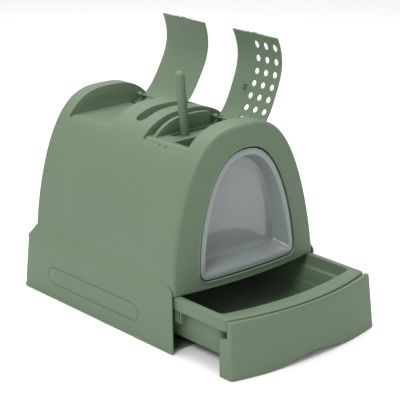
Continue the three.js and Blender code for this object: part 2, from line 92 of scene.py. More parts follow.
# ---- Base ----
BASE_FOOT, BASE_TOP = 0.001, 0.120
BASE_HALF_FOOT, BASE_HALF_TOP, BASE_LIP = 0.199, 0.195, 0.001
BASE_REAR_FOOT, BASE_REAR_TOP = 0.491, 0.479
SHOULDER_TOP, SHOULDER_HALF, SHOULDER_REACH = 0.141, 0.1895, 0.059
BASE_CORNER = 0.016
GROOVE_SPAN, GROOVE_LOW, GROOVE_HIGH = (0.099, 0.396), 0.034, 0.070

# ---- Drawer ----
TRAY_FLOOR, TRAY_RIM, TRAY_SKIRT = 0.024, 0.1155, 0.0905
TRAY_HALF_FLOOR, TRAY_HALF_TOP, TRAY_HALF_RIM = 0.165, 0.177, 0.188
TRAY_FRONT, TRAY_REAR, TRAY_BOW = 0.009, 0.455, 0.024
RIM_FRONT, RIM_BOW = -0.019, 0.032
PANEL_Y, PANEL_LEAN, PANEL_BOW = -0.044, 0.009, 0.025
PANEL_FOOT, PANEL_TOP, PANEL_HALF_FOOT, PANEL_HALF_TOP = 0.001, 0.113, 0.196, 0.189
PANEL_WAVE, PANEL_WAVE_HALF = 0.014, 0.134
PANEL_NOTCH, PANEL_LOW_DEPTH, PANEL_HIGH_DEPTH = 0.077, 0.034, 0.013
FLANGE_SIDE, FLANGE_BOW, FLANGE_HALF = -0.0118, 0.043, 0.218
ARM_X, ARM_HALF = 0.090, 0.010
CATCH_X, CATCH_SIZE = 0.1785, (0.0165, 0.0025, 0.025)

# ---- Scoop ----
SCOOP_X, SCOOP_Y, SCOOP_TOP, SCOOP_RADIUS, SCOOP_LEAN = -0.033, 0.1435, 0.513, 0.010, 0.11
BLADE_X, BLADE_HALF, BLADE_FOOT, BLADE_TOP, BLADE_DEEP = -0.016, 0.042, 0.320, 0.378, 0.011

# ---- Door ----
DOOR_FOOT, DOOR_CROWN, DOOR_HALF, DOOR_CORNER = 0.131, 0.378, 0.129, 0.019
DOOR_SIDE_POWER, DOOR_CROWN_POWER = 2.4, 1.65
DOOR_BEAD = 0.0034
FLAP_SET_BACK, PAN_DEPTH, PAN_TAPER = 0.0012, 0.027, 0.1

# ---- Lids ----
HINGE_X, HINGE_Z = 0.072, 0.394
LID_LEFT, LID_RIGHT = -0.1105, 0.095
LID_PLAY = 0.0012
LUG_RADIUS, LUG_INSET = 0.005, 0.012
TAB_REACH, TAB_HALF = 0.0014, 0.0105
BUMP_REACH, BUMP_HALF, BUMP_FROM_TAB = 0.0012, 0.004, 0.019
VENT_FIRST = (-0.092, 0.0675)
FRONT_LID_OPEN, REAR_LID_OPEN = math.radians(112.5), math.radians(120.0)

# ---- Pieces, in the order they are made ----
PIECES = ("hood", "base", "drawer", "lids", "flap", "scoop", "filter", "small_parts", "stage")
KEPT_NODES = {
    "shell": ("floor_pan", "scoop_holder", "filter_holder", "front_lid_pin", "rear_lid_pin",
              "flap_pin_left", "flap_pin_right"),
    "rubber": ("foot_front_left", "foot_front_right", "foot_rear_left", "foot_rear_right"),
}

# ---- Studio ----
FLOOR_REACH = 6.0
WORLD_STRENGTH = 0.8
LIGHT_TARGET = Vector((0, 0, 0.2))
KEY_LIGHT = ((-2.4, -0.9, 2.6), 1.2, 60)             # place, size, power
TOP_LIGHT = ((0.2, 0.6, 2.8), 2.2, 75)
CAMERA_PLACE = Vector((-1.8808, -1.9714, 1.1896))
CAMERA_AZIMUTH, CAMERA_ELEVATION = math.radians(-41.74), math.radians(18.64)
CAMERA_LENS = 131.64

SMOOTH_UP_TO = math.radians(38)
NEAR_ENOUGH = 1e-6
MATERIALS = {}


def lerp(a, b, k):
    return a + (b - a) * k


def arc(x, y, radius, start, end, steps):
    """Points round a corner from one angle in degrees to another."""
    turns = [math.radians(lerp(start, end, i / steps)) for i in range(steps + 1)]
    return [(x + radius * math.cos(turn), y + radius * math.sin(turn)) for turn in turns]


def mirrored(path):
    return [(-x, y) for x, y in reversed(path)]


def smooth_step(edge0, edge1, value):
    k = min(max((value - edge0) / (edge1 - edge0), 0.0), 1.0)
    return k * k * (3 - 2 * k)


# ---------------------------------------------------------------- shape rules
def arch_half(y):
    return lerp(HALF_FRONT, HALF_REAR, y / HOOD_REAR)


def arch_point(turn, y, inset=0.0):
    """A point of the hood's section: turn 0 is its right foot, pi its left foot."""
    across, up = math.cos(turn), abs(math.sin(turn))
    x = math.copysign(abs(across) ** (2 / SIDE_POWER), across) * (arch_half(y) - inset)
    z = ARCH_FOOT + (ARCH_CROWN - inset - ARCH_FOOT) * up ** (2 / CROWN_POWER)
    return Vector((x, y, z))


def arch_z(x, y, inset=0.0):
    reach = min(abs(x) / (arch_half(y) - inset), 1.0)
    rise = (1 - reach ** SIDE_POWER) ** (1 / CROWN_POWER)
    return ARCH_FOOT + (ARCH_CROWN - inset - ARCH_FOOT) * rise


def arch_x(z, y):
    """The hood's half-width at a height near its foot."""
    rise = max((z - ARCH_FOOT) / (ARCH_CROWN - ARCH_FOOT), 0.0)
    return arch_half(y) * (1 - rise ** CROWN_POWER) ** (1 / SIDE_POWER)


def arch_turn(x, y):
    turn = math.acos(min(abs(x) / arch_half(y), 1.0) ** (SIDE_POWER / 2))
    return turn if x >= 0 else math.pi - turn


def arch_normal(x, y):
    step = 0.0005
    slope = (arch_z(x + step, y) - arch_z(x - step, y)) / (2 * step)
    return Vector((-slope, 0.0, 1.0)).normalized()


def face_y(x, z):
    """The hood's front wall bulges forward in the middle and leans back."""
    return -FACE_BOW * (1 - (x / HALF_FRONT) ** 2) + FACE_LEAN * (z - ARCH_FOOT)


def door_loop(inset, arch_steps=64, corner_steps=8, foot_steps=16):
    """The door's outline as (x, z), from its right side over the top, then along its foot."""
    half, foot, crown = DOOR_HALF - inset, DOOR_FOOT + inset, DOOR_CROWN - inset
    corner = max(DOOR_CORNER - inset, 0.004)
    loop = []
    for i in range(arch_steps + 1):
        turn = math.pi * i / arch_steps
        across, up = math.cos(turn), abs(math.sin(turn))
        x = math.copysign(abs(across) ** (2 / DOOR_SIDE_POWER), across) * half
        loop.append((x, foot + corner + (crown - foot - corner) * up ** (2 / DOOR_CROWN_POWER)))
    right = arc(half - corner, foot + corner, corner, -90, 0, corner_steps)[:-1]
    loop += mirrored(right)
    loop += [(lerp(corner - half, half - corner, i / foot_steps), foot)
             for i in range(1, foot_steps)]
    loop += right
    return loop


# ---------------------------------------------------------------- mesh helpers
class Skin:
    """Collects patches of one surface, and joins them where they touch."""

    def __init__(self):
        self.mesh = bmesh.new()

    def grid(self, rows, wrap=False, leave_out=None):
        made = [[self.mesh.verts.new(point) for point in row] for row in rows]
        for i in range(len(rows) - 1):
            width = len(rows[i])
            for j in range(width if wrap else width - 1):
                if leave_out and leave_out(i, j):
                    continue
                k = (j + 1) % width
                self.face([made[i][j], made[i][k], made[i + 1][k], made[i + 1][j]])
        return made

    def face(self, corners):
        try:
            self.mesh.faces.new(corners)
        except ValueError:
            pass

    def plate(self, points):
        self.face([self.mesh.verts.new(point) for point in points])

    def object(self, name, up_at=None, finish="shell"):
        """The finished object; up_at is a place on it and the way its face there looks."""
        bmesh.ops.remove_doubles(self.mesh, verts=self.mesh.verts, dist=2e-5)
        bmesh.ops.dissolve_degenerate(self.mesh, edges=self.mesh.edges, dist=1e-6)
        bmesh.ops.recalc_face_normals(self.mesh, faces=self.mesh.faces)
        if up_at:
            place_at, up = map(Vector, up_at)
            nearest = min(self.mesh.faces, key=lambda f: (f.calc_center_median() - place_at).length)
            if nearest.normal.dot(up) < 0:
                bmesh.ops.reverse_faces(self.mesh, faces=self.mesh.faces)
        return as_object(name, self.mesh, finish)


def as_object(name, source, finish=None):
    mesh = bpy.data.meshes.new(name)
    source.to_mesh(mesh)
    source.free()
    made = bpy.data.objects.new(name, mesh)
    bpy.context.scene.collection.objects.link(made)
    if finish:
        mesh.materials.append(finish_of(finish))
    return made


def add_modifier(piece, kind, **settings):
    modifier = piece.modifiers.new(kind.title(), kind)
    for name, value in settings.items():
        setattr(modifier, name, value)
    return modifier


def settle(piece):
    """Turns live modifiers into a plain mesh and shades it smooth up to an angle."""
    bpy.context.view_layer.update()
    seen = piece.evaluated_get(bpy.context.evaluated_depsgraph_get())
    mesh = bpy.data.meshes.new_from_object(seen)
    old = piece.data
    piece.modifiers.clear()
    piece.data = mesh
    mesh.name = piece.name
    bpy.data.meshes.remove(old)
    mesh.shade_smooth()
    mesh.set_sharp_from_angle(angle=SMOOTH_UP_TO)


def round_edges(piece, width, angle=42):
    """Rounds the edges that turn by more than an angle in degrees."""
    add_modifier(piece, "BEVEL", width=width, segments=2, limit_method="ANGLE",
                 angle_limit=math.radians(angle), use_clamp_overlap=True)
    settle(piece)


def thicken(piece, thickness):
    """Gives a skin a wall, on the side its faces turn away from."""
    add_modifier(piece, "SOLIDIFY", thickness=thickness, offset=-1.0)
    settle(piece)
    return piece


def cut_away(piece, tool):
    add_modifier(piece, "BOOLEAN", object=tool, operation="DIFFERENCE", solver="EXACT")
    settle(piece)
    bpy.data.objects.remove(tool)


def place(piece, body, replaced=None, forward=0.0):
    """Moves a finished mesh into the frame and lets it ride on its body."""
    piece.data.transform(Matrix.Translation((0, FRAME_Y - forward, 0)))
    piece.data.update()
    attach(piece, body)
    if replaced:
        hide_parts(replaced)


def block(low, high):
    """A box between two corners, as a bmesh."""
    mesh = bmesh.new()
    bmesh.ops.create_cube(mesh, size=1.0)
    size = [b - a for a, b in zip(low, high)]
    middle = [(a + b) / 2 for a, b in zip(low, high)]
    bmesh.ops.scale(mesh, vec=size, verts=mesh.verts)
    bmesh.ops.translate(mesh, vec=middle, verts=mesh.verts)
    return mesh


def gather(whole, parts):
    """Adds closed parts to a bmesh."""
    for part in parts:
        held = bpy.data.meshes.new("part")
        part.to_mesh(held)
        part.free()
        whole.from_mesh(held)
        bpy.data.meshes.remove(held)


def merged(name, parts):
    whole = bmesh.new()
    gather(whole, parts)
    return as_object(name, whole, "shell")


def join_into(piece, parts):
    """Adds closed parts to a finished mesh."""
    whole = bmesh.new()
    whole.from_mesh(piece.data)
    gather(whole, parts)
    whole.to_mesh(piece.data)
    whole.free()
    return piece


# ---------------------------------------------------------------- materials
def feed(tree, node, inputs):
    """Gives each input a value, or the output of another node to follow."""
    for name, value in inputs.items():
        if isinstance(value, bpy.types.NodeSocket):
            tree.links.new(value, node.inputs[name])
        else:
            node.inputs[name].default_value = value


def add_node(tree, kind, inputs=None, **settings):
    node = tree.nodes.new(kind)
    for name, value in settings.items():
        setattr(node, name, value)
    feed(tree, node, inputs or {})
    return node


def new_material(name):
    material = bpy.data.materials.new(name)
    material.use_nodes = True
    tree = material.node_tree
    where = add_node(tree, "ShaderNodeTexCoord").outputs["Object"]
    return material, tree, tree.nodes["Principled BSDF"], where


def noise(tree, where, scale, detail=3.0, roughness=0.5):
    return add_node(tree, "ShaderNodeTexNoise", {
        "Scale": scale, "Detail": detail, "Roughness": roughness, "Vector": where}).outputs["Fac"]


def spread(tree, value, low, high):
    """Maps a noise value onto a narrow range."""
    return add_node(tree, "ShaderNodeMapRange", {
        "From Min": 0.35, "From Max": 0.65, "To Min": low, "To Max": high,
        "Value": value}).outputs["Result"]


def tones(tree, factor, colour, dark, light):
    """Lets a colour wander between a darker and a lighter tone of itself."""
    return add_node(tree, "ShaderNodeMix", {
        6: (*[c * dark for c in colour], 1), 7: (*[min(c * light, 1) for c in colour], 1),
        0: factor}, data_type="RGBA").outputs[2]


def relief(tree, height, strength, distance):
    return add_node(tree, "ShaderNodeBump", {
        "Strength": strength, "Distance": distance, "Height": height}).outputs["Normal"]


def moulded_plastic(name, colour, roughness):
    """Opaque moulded plastic with slight flow shading and a fine spark-eroded grain."""
    material, tree, shader, where = new_material(name)
    feed(tree, shader, {
        "Base Color": tones(tree, noise(tree, where, 9.0, 4.0, 0.55), colour, 0.96, 1.04),
        "Roughness": spread(tree, noise(tree, where, 35.0, 4.0, 0.6),
                            roughness - 0.04, roughness + 0.05),
        "Normal": relief(tree, noise(tree, where, 1400.0, 2.0, 0.6), 0.05, 0.0002),
        "Specular IOR Level": 0.25})
    return material


def smoky_clear(name, colour, alpha, roughness):
    """Clear plastic with a grey smoke tint, faint haze and a polished face."""
    material, tree, shader, where = new_material(name)
    haze = noise(tree, where, 14.0)
    feed(tree, shader, {
        "Base Color": tones(tree, haze, colour, 0.95, 1.05),
        "Roughness": spread(tree, haze, roughness * 0.8, roughness * 1.3),
        "IOR": 1.49, "Alpha": alpha, "Coat Weight": 0.5, "Coat Roughness": 0.05})
    material.surface_render_method = "BLENDED"
    return material


def carbon_foam(name, colour):
    """Open-cell carbon foam: dark, with pits and painted shade that darkens each pit towards its bottom.
    """
    material, tree, shader, where = new_material(name)
    # pit depth, also used as painted shade: darker at each pit's bottom, lighter on the cell walls
    pit_depth_and_shade = add_node(tree, "ShaderNodeTexVoronoi", {"Scale": 420.0, "Vector": where}).outputs["Distance"]
    feed(tree, shader, {
        "Base Color": tones(tree, pit_depth_and_shade, colour, 0.35, 2.2),
        "Normal": relief(tree, pit_depth_and_shade, 0.9, 0.001), "Roughness": 0.95})
    return material


def foot_rubber(name, colour):
    """Soft matt rubber with a dusty, uneven surface."""
    material, tree, shader, where = new_material(name)
    dust = noise(tree, where, 220.0, 5.0, 0.7)
    feed(tree, shader, {
        "Base Color": tones(tree, dust, colour, 0.8, 1.4),
        "Normal": relief(tree, dust, 0.3, 0.0004), "Roughness": 0.8})
    return material


def studio_paper(name):
    material, tree, shader, _ = new_material(name)
    feed(tree, shader, {"Base Color": (0.9, 0.9, 0.9, 1), "Roughness": 0.7})
    return material


def finish_of(name):
    """Each finish is made once and shared."""
    if name not in MATERIALS:
        looks = bpy.context.scene.litter_finishes
        makers = {
            "shell": lambda: moulded_plastic("sage moulded plastic", looks.shell_colour,
                                             looks.shell_roughness),
            "clear": lambda: smoky_clear("smoky clear plastic", looks.flap_colour,
                                         looks.flap_density, 0.1),
            "foam": lambda: carbon_foam("carbon foam", looks.foam_colour),
            "rubber": lambda: foot_rubber("foot rubber", looks.rubber_colour),
            "paper": lambda: studio_paper("studio floor"),
        }
        MATERIALS[name] = makers[name]()
    return MATERIALS[name]


# ---------------------------------------------------------------- geometry node trees
def new_tree(name, sockets):
    tree = bpy.data.node_groups.new(name, "GeometryNodeTree")
    tree.interface.new_socket("Geometry", in_out="OUTPUT", socket_type="NodeSocketGeometry")
    for label, kind in {"Geometry": "Geometry", **sockets, "Finish": "Material"}.items():
        tree.interface.new_socket(label, in_out="INPUT", socket_type=f"NodeSocket{kind}")
    return tree, tree.nodes.new("NodeGroupInput").outputs


def close_tree(tree, given, geometry):
    """Ends a tree in Realize Instances and Set Material."""
    real = add_node(tree, "GeometryNodeRealizeInstances", {"Geometry": geometry})
    dressed = add_node(tree, "GeometryNodeSetMaterial", {
        "Geometry": real.outputs["Geometry"], "Material": given["Finish"]})
    add_node(tree, "NodeGroupOutput", {"Geometry": dressed.outputs["Geometry"]})
    return tree


def run_tree(piece, tree, values):
    modifier = piece.modifiers.new(tree.name, "NODES")
    modifier.node_group = tree
    values["Finish"] = finish_of("shell")
    for item in tree.interface.items_tree:
        if item.in_out == "INPUT" and item.name in values:
            modifier[item.identifier] = values[item.name]
    settle(piece)
    bpy.data.node_groups.remove(tree)


def instances(tree, points, instance):
    return add_node(tree, "GeometryNodeInstanceOnPoints", {
        "Points": points, "Instance": instance}).outputs["Instances"]


def vent_tree():
    """Drills a grid of round holes through a flat plate."""
    tree, given = new_tree("Vent holes", {
        "Rows": "Int", "Columns": "Int", "Pitch": "Float", "Hole Radius": "Float",
        "Middle": "Vector"})

    def span(count):
        gaps = add_node(tree, "ShaderNodeMath", {0: given[count], 1: 1.0}, operation="SUBTRACT")
        return add_node(tree, "ShaderNodeMath", {0: gaps.outputs[0], 1: given["Pitch"]},
                        operation="MULTIPLY").outputs[0]

    points = add_node(tree, "GeometryNodeMeshGrid", {
        "Size X": span("Rows"), "Size Y": span("Columns"),
        "Vertices X": given["Rows"], "Vertices Y": given["Columns"]})
    moved = add_node(tree, "GeometryNodeTransform", {
        "Geometry": points.outputs["Mesh"], "Translation": given["Middle"]})
    drill = add_node(tree, "GeometryNodeMeshCylinder", {
        "Vertices": 28, "Depth": 0.02, "Radius": given["Hole Radius"]})
    drills = add_node(tree, "GeometryNodeRealizeInstances", {
        "Geometry": instances(tree, moved.outputs["Geometry"], drill.outputs["Mesh"])})
    cut = add_node(tree, "GeometryNodeMeshBoolean", {
        "Mesh 1": given["Geometry"], "Mesh 2": drills.outputs["Geometry"]},
        operation="DIFFERENCE", solver="EXACT")
    return close_tree(tree, given, cut.outputs["Mesh"])


def bar_row_tree():
    """Sets a row of equal bars beside each other."""
    tree, given = new_tree("Bar row", {
        "Count": "Int", "First": "Vector", "Step": "Vector", "Bar Size": "Vector"})
    line = add_node(tree, "GeometryNodeMeshLine", {
        "Count": given["Count"], "Start Location": given["First"], "Offset": given["Step"]},
        mode="OFFSET")
    bar = add_node(tree, "GeometryNodeMeshCube", {"Size": given["Bar Size"]})
    whole = add_node(tree, "GeometryNodeJoinGeometry")
    for part in (given["Geometry"], instances(tree, line.outputs["Mesh"], bar.outputs["Mesh"])):
        feed(tree, whole, {"Geometry": part})
    return close_tree(tree, given, whole.outputs["Geometry"])


# ---------------------------------------------------------------- hood
SIDE_COLUMNS, TOP_COLUMNS = 16, 40


def hood_turns(y):
    """Column places round the arch: two of them follow the recesses' straight edges."""
    right, left = arch_turn(RECESS_RIGHT, y), arch_turn(RECESS_LEFT, y)
    turns = [lerp(0, right, i / SIDE_COLUMNS) for i in range(SIDE_COLUMNS)]
    turns += [lerp(right, left, i / TOP_COLUMNS) for i in range(TOP_COLUMNS)]
    turns += [lerp(left, math.pi, i / SIDE_COLUMNS) for i in range(SIDE_COLUMNS + 1)]
    return turns


def recess_floor(x, level):
    well = min(max((x - HINGE_WELL_LEFT) / HINGE_WELL_SLOPE, 0.0), 1.0)
    gutter = min(max(1 - (x - RECESS_LEFT) / GUTTER_WIDTH, 0.0), 1.0)
    return level - HINGE_WELL_DROP * well - GUTTER_DROP * gutter


def band_z(x, y):
    """The middle band between the lids lies a little lower than the lids' own arch."""
    fade = smooth_step(RECESS_LEFT, -0.060, x) * (1 - smooth_step(0.055, RECESS_RIGHT, x))
    return arch_z(x, y) - BAND_DROP * fade


def hood_rows():
    """The y stations behind the rounded front edge."""
    stations = []
    for first, last, steps in ((0.030, FRONT_RECESS[0], 3), (*FRONT_RECESS, 8),
                               (FRONT_RECESS[1], REAR_RECESS[0], 6), (*REAR_RECESS, 8),
                               (REAR_RECESS[1], HOOD_REAR - REAR_ROUND, 3)):
        stations += [lerp(first, last, i / steps) for i in range(steps)]
    return stations + [HOOD_REAR - REAR_ROUND]


def stadium_hit(dx, dy, half, radius):
    """Where a ray from the middle of a round-ended slot meets its outline."""
    low, high = 0.0, 4.0
    for _ in range(40):
        k = (low + high) / 2
        x, y = dx * k, dy * k
        beyond = max(abs(x) - (half - radius), 0.0)
        if math.hypot(beyond, y) < radius:
            low = k
        else:
            high = k
    return dx * low, dy * low


def hood_front_patch(skin):
    """Rounded front edge, bulging front wall, and the raised bead round the door."""
    turns = hood_turns(0.0)
    edge_rows = []
    for k in range(EDGE_STEPS + 1):
        swing = math.pi / 2 * k / EDGE_STEPS
        edge_rows.append([])
        for turn in turns:
            inner = arch_point(turn, 0.0, FACE_ROUND)
            y = face_y(inner.x, inner.z) + FACE_ROUND * (1 - math.cos(swing))
            edge_rows[k].append(arch_point(turn, y, FACE_ROUND * (1 - math.sin(swing))))
    rim = edge_rows[0]
    left, right = rim[-1], rim[0]
    outer = [(p.x, p.z) for p in rim]
    foot_steps = 32
    outer += [(lerp(left.x, right.x, i / foot_steps), lerp(left.z, right.z, i / foot_steps))
              for i in range(1, foot_steps)]
    steps = len(turns) - 1
    rings = []
    for k in [i / 12 for i in range(13)]:
        ring = [(lerp(a[0], b[0], k), lerp(a[1], b[1], k))
                for a, b in zip(outer, door_loop(-DOOR_BEAD, steps))]
        rings.append([Vector((x, face_y(x, z), z)) for x, z in ring])
    rings[0] = [Vector(p) for p in rim] + rings[0][len(rim):]
    for inset, depth in ((-0.0030, -0.0012), (-0.0022, -0.0019), (-0.0012, -0.0019),
                         (-0.0004, -0.0012), (0.0, 0.0), (0.0, 0.004)):
        rings.append([Vector((x, face_y(x, z) + depth, z)) for x, z in door_loop(inset, steps)])
    skin.grid(rings, wrap=True)
    return edge_rows


def build_hood(wall):
    skin = Skin()
    stations = hood_rows()
    rows = hood_front_patch(skin)
    first = stations[0]
    rows.append([arch_point(turn, lerp(edge.y, first, 0.5))
                 for turn, edge in zip(hood_turns(first / 2), rows[-1])])
    shift = len(rows)
    rows += [[arch_point(turn, y) for turn in hood_turns(y)] for y in stations]
    top = range(SIDE_COLUMNS, SIDE_COLUMNS + TOP_COLUMNS)
    gaps = {i + shift for i, y in enumerate(stations[:-1])
            if FRONT_RECESS[0] - NEAR_ENOUGH <= y < REAR_RECESS[1] - NEAR_ENOUGH}
    skin.grid(rows, leave_out=lambda i, j: i in gaps and j in top)
    rear_rows = [rows[-1]]
    for k in range(1, 6):
        swing = math.pi / 2 * k / 5
        y = HOOD_REAR - REAR_ROUND + REAR_ROUND * math.sin(swing)
        rear_rows.append([arch_point(turn, y, REAR_ROUND * (1 - math.cos(swing)))
                          for turn in hood_turns(stations[-1])])
    skin.grid(rear_rows)
    skin.plate(rear_rows[-1])
    build_top(skin, stations)
    return thicken(skin.object("hood_shell", ((0, 0.44, ARCH_CROWN), (0, 0, 1))), wall)


def between(stations, low, high):
    return [y for y in stations if low - NEAR_ENOUGH <= y <= high + NEAR_ENOUGH]


def xs_at(y):
    """The columns across the lid recesses."""
    return [arch_point(turn, y).x
            for turn in hood_turns(y)[SIDE_COLUMNS:SIDE_COLUMNS + TOP_COLUMNS + 1]]


def build_top(skin, stations):
    """The recesses and the band, with edges that meet the arch's own columns."""
    for span, level in ((FRONT_RECESS, FRONT_FLOOR), (REAR_RECESS, REAR_FLOOR)):
        rows = between(stations, *span)
        for y in span:
            rim = arch_z if y in (FRONT_RECESS[0], REAR_RECESS[1]) else band_z
            xs = xs_at(y)
            top_row = [Vector((x, y, rim(x, y))) for x in xs]
            mid_row = [Vector((x, y, lerp(rim(x, y), recess_floor(x, level), 0.6))) for x in xs]
            low_row = [Vector((x, y, recess_floor(x, level))) for x in xs]
            skin.grid([top_row, mid_row, low_row])
        for side in (0, -1):
            edge = [(xs_at(y)[side], y) for y in rows]
            skin.grid([[Vector((x, y, arch_z(x, y))) for x, y in edge],
                       [Vector((x, y, recess_floor(x, level))) for x, y in edge]])
        skin.grid([[Vector((x, y, recess_floor(x, level))) for x in xs_at(y)] for y in rows])
    y0, y1 = FRONT_RECESS[1], REAR_RECESS[0]
    band_rows = between(stations, y0, y1)
    edge = [(x, y0) for x in xs_at(y0)[:-1]]
    edge += [(xs_at(y)[-1], y) for y in band_rows[:-1]]
    edge += [(x, y1) for x in reversed(xs_at(y1)[1:])]
    edge += [(xs_at(y)[0], y) for y in reversed(band_rows[1:])]
    radius = GRAB_WIDTH / 2
    slot = [stadium_hit(x / 0.112 * GRAB_HALF, (y - GRAB_Y) / 0.0535 * radius, GRAB_HALF, radius)
            for x, y in edge]
    rings = []
    for k in [i / 8 for i in range(9)]:
        ring = []
        for (x, y), (u, v) in zip(edge, slot):
            px, py = lerp(x, u, k), lerp(y, GRAB_Y + v, k)
            z = arch_z(px, py) if k == 0 and py not in (y0, y1) else band_z(px, py)
            ring.append(Vector((px, py, z)))
        rings.append(ring)
    floor = [Vector((p.x, p.y, min(GRAB_FLOOR, p.z - 0.005))) for p in rings[-1]]
    skin.grid(rings + [floor], wrap=True)
    skin.plate(floor)


def build_rib():
    """The arched rib across the front recess, behind the scoop's holder."""
    xs = [lerp(RECESS_LEFT + 0.001, RIB_RIGHT, i / 40) for i in range(41)]
    skin = Skin()
    top = [[Vector((x, y, arch_z(x, y, RIB_INSET))) for x in xs] for y in (RIB_FRONT, RIB_REAR)]
    low = [[Vector((p.x, p.y, min(recess_floor(p.x, FRONT_FLOOR), p.z) - 0.001)) for p in row]
           for row in top]
    skin.grid([low[0], top[0], top[1], low[1], low[0]])
    for end in (0, -1):
        skin.plate([row[end] for row in (low[0], top[0], top[1], low[1])])
    return skin.object("hood_rib", ((0, 0.166, ARCH_CROWN - RIB_INSET), (0, 0, 1)))


# ---------------------------------------------------------------- base
def base_path(half, front, rear, corner=BASE_CORNER, corner_steps=6, side_steps=30):
    """From the right front end round the rear to the left front end, as (x, y)."""
    right = [(half, lerp(front, rear - corner, (i / side_steps) ** 1.5)) for i in range(side_steps)]
    right += arc(half - corner, rear - corner, corner, 0, 90, corner_steps)
    middle = [(lerp(half - corner, corner - half, i / 12), rear) for i in range(1, 12)]
    return right + middle + mirrored(right)


def shoulder_half(y):
    return SHOULDER_HALF - HALF_FRONT + arch_half(y)


def shoulder_reach(y):
    """How far up the sloping shoulder the hood's side cuts it off."""
    low, high = 0.0, 1.0
    for _ in range(30):
        k = (low + high) / 2
        x, z = lerp(BASE_HALF_TOP, shoulder_half(y), k), lerp(BASE_TOP, SHOULDER_TOP, k)
        if x > arch_x(z, y) - 0.0012:
            low = k
        else:
            high = k
    return low


def build_base(wall):
    levels = [(BASE_FOOT, BASE_HALF_FOOT + BASE_LIP, BASE_REAR_FOOT, 0.0),
              (BASE_FOOT + 0.003, BASE_HALF_FOOT + BASE_LIP, BASE_REAR_FOOT, 0.0),
              (BASE_FOOT + 0.0045, BASE_HALF_FOOT - 0.0004, BASE_REAR_FOOT - 0.001, 0.0)]
    for i in range(1, 7):
        k = i / 6
        levels.append((lerp(0.0055, BASE_TOP, k), lerp(BASE_HALF_FOOT, BASE_HALF_TOP, k),
                       lerp(BASE_REAR_FOOT, BASE_REAR_TOP, k), k))
    skin = Skin()
    rows = []
    for z, half, rear, k in levels:
        rows.append([Vector((x, y, z)) for x, y in base_path(half, lerp(-0.007, 0.0, k), rear)])
    for k in (0.5, 1.0):
        row = []
        for point in rows[len(levels) - 1]:
            along = min(max(point.y, 0.0), HOOD_REAR)
            ahead = max(1 - along / SHOULDER_REACH, 0.0)
            share = k * max(shoulder_reach(along) * math.sqrt(1 - ahead ** 2), 0.05)
            rise = lerp(BASE_TOP, SHOULDER_TOP, share)
            x = point.x * lerp(1.0, shoulder_half(along) / BASE_HALF_TOP, share)
            rear_share = smooth_step(HOOD_REAR - 0.02, BASE_REAR_TOP, point.y)
            y = point.y
            if y > HOOD_REAR:
                y = lerp(y, HOOD_REAR - 0.001, rear_share * k * 0.999)
            row.append(Vector((x, y, rise)))
        rows.append(row)
    skin.grid(rows)
    return thicken(skin.object("base_shell", ((-0.197, 0.2, 0.06), (-1, 0, 0))), wall)


def groove_cutter(side, radius):
    """A thin racetrack along the side wall, as a closed tube."""
    middle_z = (GROOVE_LOW + GROOVE_HIGH) / 2
    end = (GROOVE_HIGH - GROOVE_LOW) / 2
    track = (arc(GROOVE_SPAN[1] - end, middle_z, end, 90, -90, 12)
             + arc(GROOVE_SPAN[0] + end, middle_z, end, -90, -270, 12))
    skin = Skin()
    rings = []
    count = len(track)
    for i, (y, z) in enumerate(track):
        before, after = track[i - 1], track[(i + 1) % count]
        along = Vector((0, after[0] - before[0], after[1] - before[1])).normalized()
        x = side * lerp(BASE_HALF_FOOT, BASE_HALF_TOP, (z - BASE_FOOT) / (BASE_TOP - BASE_FOOT))
        across = along.cross(Vector((1, 0, 0)))
        rings.append([Vector((x, y, z)) + across * (radius * math.cos(a))
                      + Vector((radius * math.sin(a), 0, 0))
                      for a in [math.tau * j / 8 for j in range(8)]])
    skin.grid(rings + [rings[0]], wrap=True)
    return skin.object("groove_cutter", finish=None)


def build_ledge():
    """The ledge inside the base that the hood's foot stands on."""
    strips = [block((-0.1935, 0.009, 0.1137), (-0.1895, 0.474, 0.1165)),
              block((0.1895, 0.009, 0.1137), (0.1935, 0.474, 0.1165)),
              block((-0.1895, 0.457, 0.1137), (0.1895, 0.474, 0.1165))]
    return merged("base_ledge", strips)


# ---------------------------------------------------------------- drawer
def plan_loop(half, front, rear, bow, corner, z, inset=0.0):
    """A rounded plan with a front edge that may bow forward, as points at one height."""
    half, front, rear = half - inset, front + inset, rear - inset
    corner = max(corner - inset, 0.002)

    def bend(x, y):
        pull = bow * max(1 - (x / half) ** 2, 0.0)
        return Vector((x, y - pull * (1 - smooth_step(front, front + 0.08, y)), z))

    def run(start, end, steps):
        return [bend(lerp(start[0], end[0], i / steps), lerp(start[1], end[1], i / steps))
                for i in range(1, steps)]

    def turn_at(x, y, start):
        return [bend(*point) for point in arc(x, y, corner, start, start + 90, 6)]

    side, near, far = half - corner, front + corner, rear - corner
    return (run((-side, front), (side, front), 32) + turn_at(side, near, -90)
            + run((half, near), (half, far), 16) + turn_at(side, far, 0)
            + run((side, rear), (-side, rear), 16) + turn_at(-side, far, 90)
            + run((-half, far), (-half, near), 16) + turn_at(-side, near, 180))


def tub_loop(z, inset=0.0):
    """The tray's own wall, narrower towards its floor."""
    k = (z - TRAY_FLOOR) / (TRAY_RIM - TRAY_FLOOR)
    return plan_loop(lerp(TRAY_HALF_FLOOR, TRAY_HALF_TOP, k),
                     lerp(TRAY_FRONT + 0.014, TRAY_FRONT - 0.003, k),
                     lerp(TRAY_REAR - 0.022, TRAY_REAR - 0.009, k), TRAY_BOW, 0.010, z, inset)


def rim_loop(z, inset=0.0):
    return plan_loop(TRAY_HALF_RIM, RIM_FRONT, TRAY_REAR, RIM_BOW, 0.006, z, inset)


